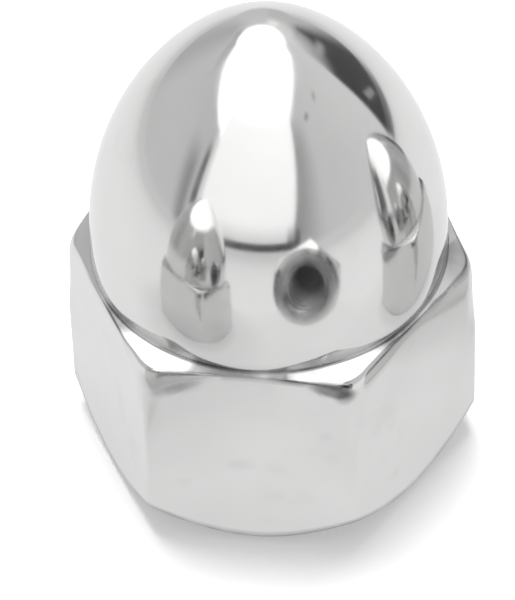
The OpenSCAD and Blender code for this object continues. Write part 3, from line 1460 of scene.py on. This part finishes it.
@dataclass
class Studio:
    """Everything round the nut: floor, light tent, lamp, world and forms that the chrome mirrors."""

    view: ViewPoint
    floor: PaleFloor = field(default_factory=PaleFloor)
    world: World = field(default_factory=World)
    lamp: KeyLamp = field(default_factory=KeyLamp)
    forms: tuple[MirroredForm, ...] = (
        MirroredForm("left_form", -39.9, 23.8 * MM, -13.4, floor_shade=0.84),
        MirroredForm("right_form", 82.0, 21.3 * MM, 6.0, floor_shade=0.94),
        MirroredForm("lying_form", 17.2, 22.0 * MM, 15.0, facing=11.0, lies=True, floor_shade=0.95),
    )

    @staticmethod
    def lights() -> list[Card]:
        """The tent's bright cards: overhead, with a dent in their edge, and in front."""
        return [
            Card(
                "top_light",
                ((-0.321, -0.291, 0.3), (0.141, -0.291, 0.3), (0.228, 0.0, 0.3), (-0.297, 0.0, 0.3)),
                (1.5, 1.5, 2.6, 2.6), (0.05, 0.07, 0.0, 0.0),
            ),
            RoundCard(
                "top_light_back", ((89, 0.0), (271, 0.0), (271, 0.285), (89, 0.27)),
                (3.4, 3.4, 2.2, 2.2), (0.0, 0.0, 0.0, 0.3), centre=(-0.036, 0.0),
            ),
            RoundCard(
                "top_dent", ((200, 0.2), (264, 0.205), (264, 0.36), (200, 0.36)),
                (0.60, 0.66, 0.66, 0.60), (0.35, 0.25, 0.35, 0.2), centre=(-0.036, 0.0), height=0.29,
            ),
            RoundCard(
                "top_glow", ((145, 0.15), (178, 0.15), (172, 0.56), (157, 0.56)),
                (1.2, 1.2, 1.2, 1.2), (0.4, 0.4, 0.0, 0.6), height=0.304,
            ),
            CurvedCard(
                "front_sheet", ((-49, 2.5), (15.5, 2.5), (33, 47), (-49, 47)),
                (1.36, 1.36, 1.5, 1.5), (0.03, 0.04, 0.2, 0.0), distance=0.34,
            ),
        ]

    @staticmethod
    def walls() -> list[Card]:
        """The tent's pale sides, with darker folds in them."""
        return [
            CurvedCard(
                "left_wall", ((-187, -1), (-50, -1), (-50, 44), (-187, 48)),
                (0.76, 0.78, 0.66, 0.86), (0.02, 0.01, 0.001, 0.12), distance=0.47,
            ),
            CurvedCard(
                "left_fold", ((-163, -1), (-122, -1), (-105, 42), (-168, 42)),
                (0.58, 0.62, 0.62, 0.6), (0.5, 0.5, 0.001, 0.3), distance=0.44,
            ),
            CurvedCard(
                "right_wall", ((10, -1), (109, -1), (110, 52), (10, 64)),
                (0.70, 0.92, 0.90, 0.72), (0.02, 0.03, 0.001, 0.15), distance=0.47,
            ),
            CurvedCard(
                "right_fold", ((10, -1), (38, -1), (54, 50), (24, 50)),
                (0.42, 0.5, 0.52, 0.42), (0.0, 0.75, 0.001, 0.3), distance=0.45,
            ),
            CurvedCard(
                "back_wall", ((100, -1), (186, -1), (186, 44), (100, 52)),
                (0.70, 0.70, 0.76, 0.76), (0.05, 0.1, 0.001, 0.55), distance=0.48,
            ),
        ]

    @staticmethod
    def flags() -> list[Card]:
        """Dark cards: beside the right-hand form, and the flag at back right with its folds."""
        return [
            CurvedCard(
                "form_edge", ((58.0, 1), (65.0, 1), (71, 26), (66.5, 26)),
                (0.12, 0.22, 0.25, 0.12), (0.2, 0.35, 0.3, 0.35), fleeting=True, distance=0.0125,
            ),
            CurvedCard(
                "flag_veil", ((106, -1), (160, -1), (152, 34), (108, 43)),
                (0.4, 0.55, 0.5, 0.4), (0.12, 0.4, 0.001, 0.45), distance=0.31,
            ),
            CurvedCard(
                "dark_flag", ((106, -2), (155, -2), (147, 24), (107, 32)),
                (0.08, 0.14, 0.1, 0.08), (0.05, 0.35, 0.05, 0.3), distance=0.3,
            ),
            CurvedCard(
                "flag_fold", ((112, 8), (124, 0), (126, 2), (113, 12)),
                (0.45, 0.35, 0.35, 0.45), (0.3, 0.3, 0.3, 0.3), distance=0.29,
            ),
            CurvedCard(
                "flag_crease", ((110, 31), (138, 11), (140, 14), (112, 36)),
                (0.55, 0.5, 0.5, 0.55), (0.4, 0.4, 0.4, 0.4), distance=0.29,
            ),
            CurvedCard(
                "flag_foot", ((106, -4.6), (146, -4.6), (146, 0), (106, 0)),
                (0.35, 0.5, 0.3, 0.1), (0.1, 0.5, 0.4, 0.0), distance=0.15,
            ),
        ]

    @staticmethod
    def edges() -> list[Card]:
        """Thin dark cards: edges and seams of the sheets, and two small marks."""
        return [
            CurvedCard(
                "sheet_edge", ((-57.5, 4), (-50.5, 6), (-50.5, 33), (-57.5, 36)),
                (0.2, 0.15, 0.2, 0.3), (0.5, 0.3, 0.2, 0.25), fleeting=True, distance=0.3,
            ),
            CurvedCard(
                "wall_seam", ((-67, -3), (-56, -3), (-56, 29), (-82, 36)),
                (0.45, 0.38, 0.34, 0.55), (0.7, 0.3, 0.1, 0.4), fleeting=True, distance=0.31,
            ),
            CurvedCard(
                "front_rim", ((-33, -0.6), (19, -0.6), (19, 3.8), (-33, 3.8)),
                (0.12, 0.05, 0.05, 0.1), (0.1, 0.05, 0.25, 0.3), distance=0.15,
            ),
            CurvedCard(
                "rim_end", ((14, 1), (20, 1), (21, 9), (17, 9)),
                (0.1, 0.1, 0.2, 0.2), (0.4, 0.4, 0.2, 0.5), distance=0.29,
            ),
            CurvedCard(
                "first_mark", ((47, 40.5), (57, 40.5), (57, 43.5), (47, 43.5)),
                (0.4, 0.4, 0.4, 0.4), (0.4, 0.4, 0.4, 0.4),
            ),
            CurvedCard(
                "second_mark", ((68, 40), (78, 40), (78, 43), (68, 43)),
                (0.5, 0.5, 0.5, 0.5), (0.4, 0.4, 0.4, 0.4),
            ),
        ]

    def build_forms(self, nut: bpy.types.Object) -> None:
        """Stands like forms beside the nut, where only its chrome sees them.

        Args:
            nut: The finished nut, whose mesh the forms share.
        """
        tone = ChromeFinish.plate_tone / REPEAT_GAIN
        finish = ChromeFinish(name="mirrored_chrome", plate_tone=tone).build()
        for form in self.forms:
            thing = bpy.data.objects.new(form.name, nut.data)
            thing.matrix_world = form.placing(self.view)
            thing.material_slots[0].link = "OBJECT"
            thing.material_slots[0].material = finish
            bpy.context.scene.collection.objects.link(thing)
            stage(thing, Seen.MIRRORED)

    def build(self, nut: bpy.types.Object) -> None:
        """Builds the whole studio round the nut.

        Args:
            nut: The finished nut.
        """
        self.floor.build(self.forms, self.view)
        self.world.build()
        self.lamp.build(self.view)
        for card in self.lights() + self.walls() + self.flags() + self.edges():
            card.build(self.view)
        self.build_forms(nut)
        bpy.context.scene.view_settings.view_transform = "Standard"


def main() -> None:
    """Builds the camera, the nut and the studio."""
    logging.basicConfig(level=logging.INFO, format="%(name)s: %(message)s")
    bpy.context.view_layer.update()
    view = ViewPoint()
    view.build()
    nut = CapNut.from_frame().build()
    Studio(view).build(nut)


if __name__ == "__main__":
    main()
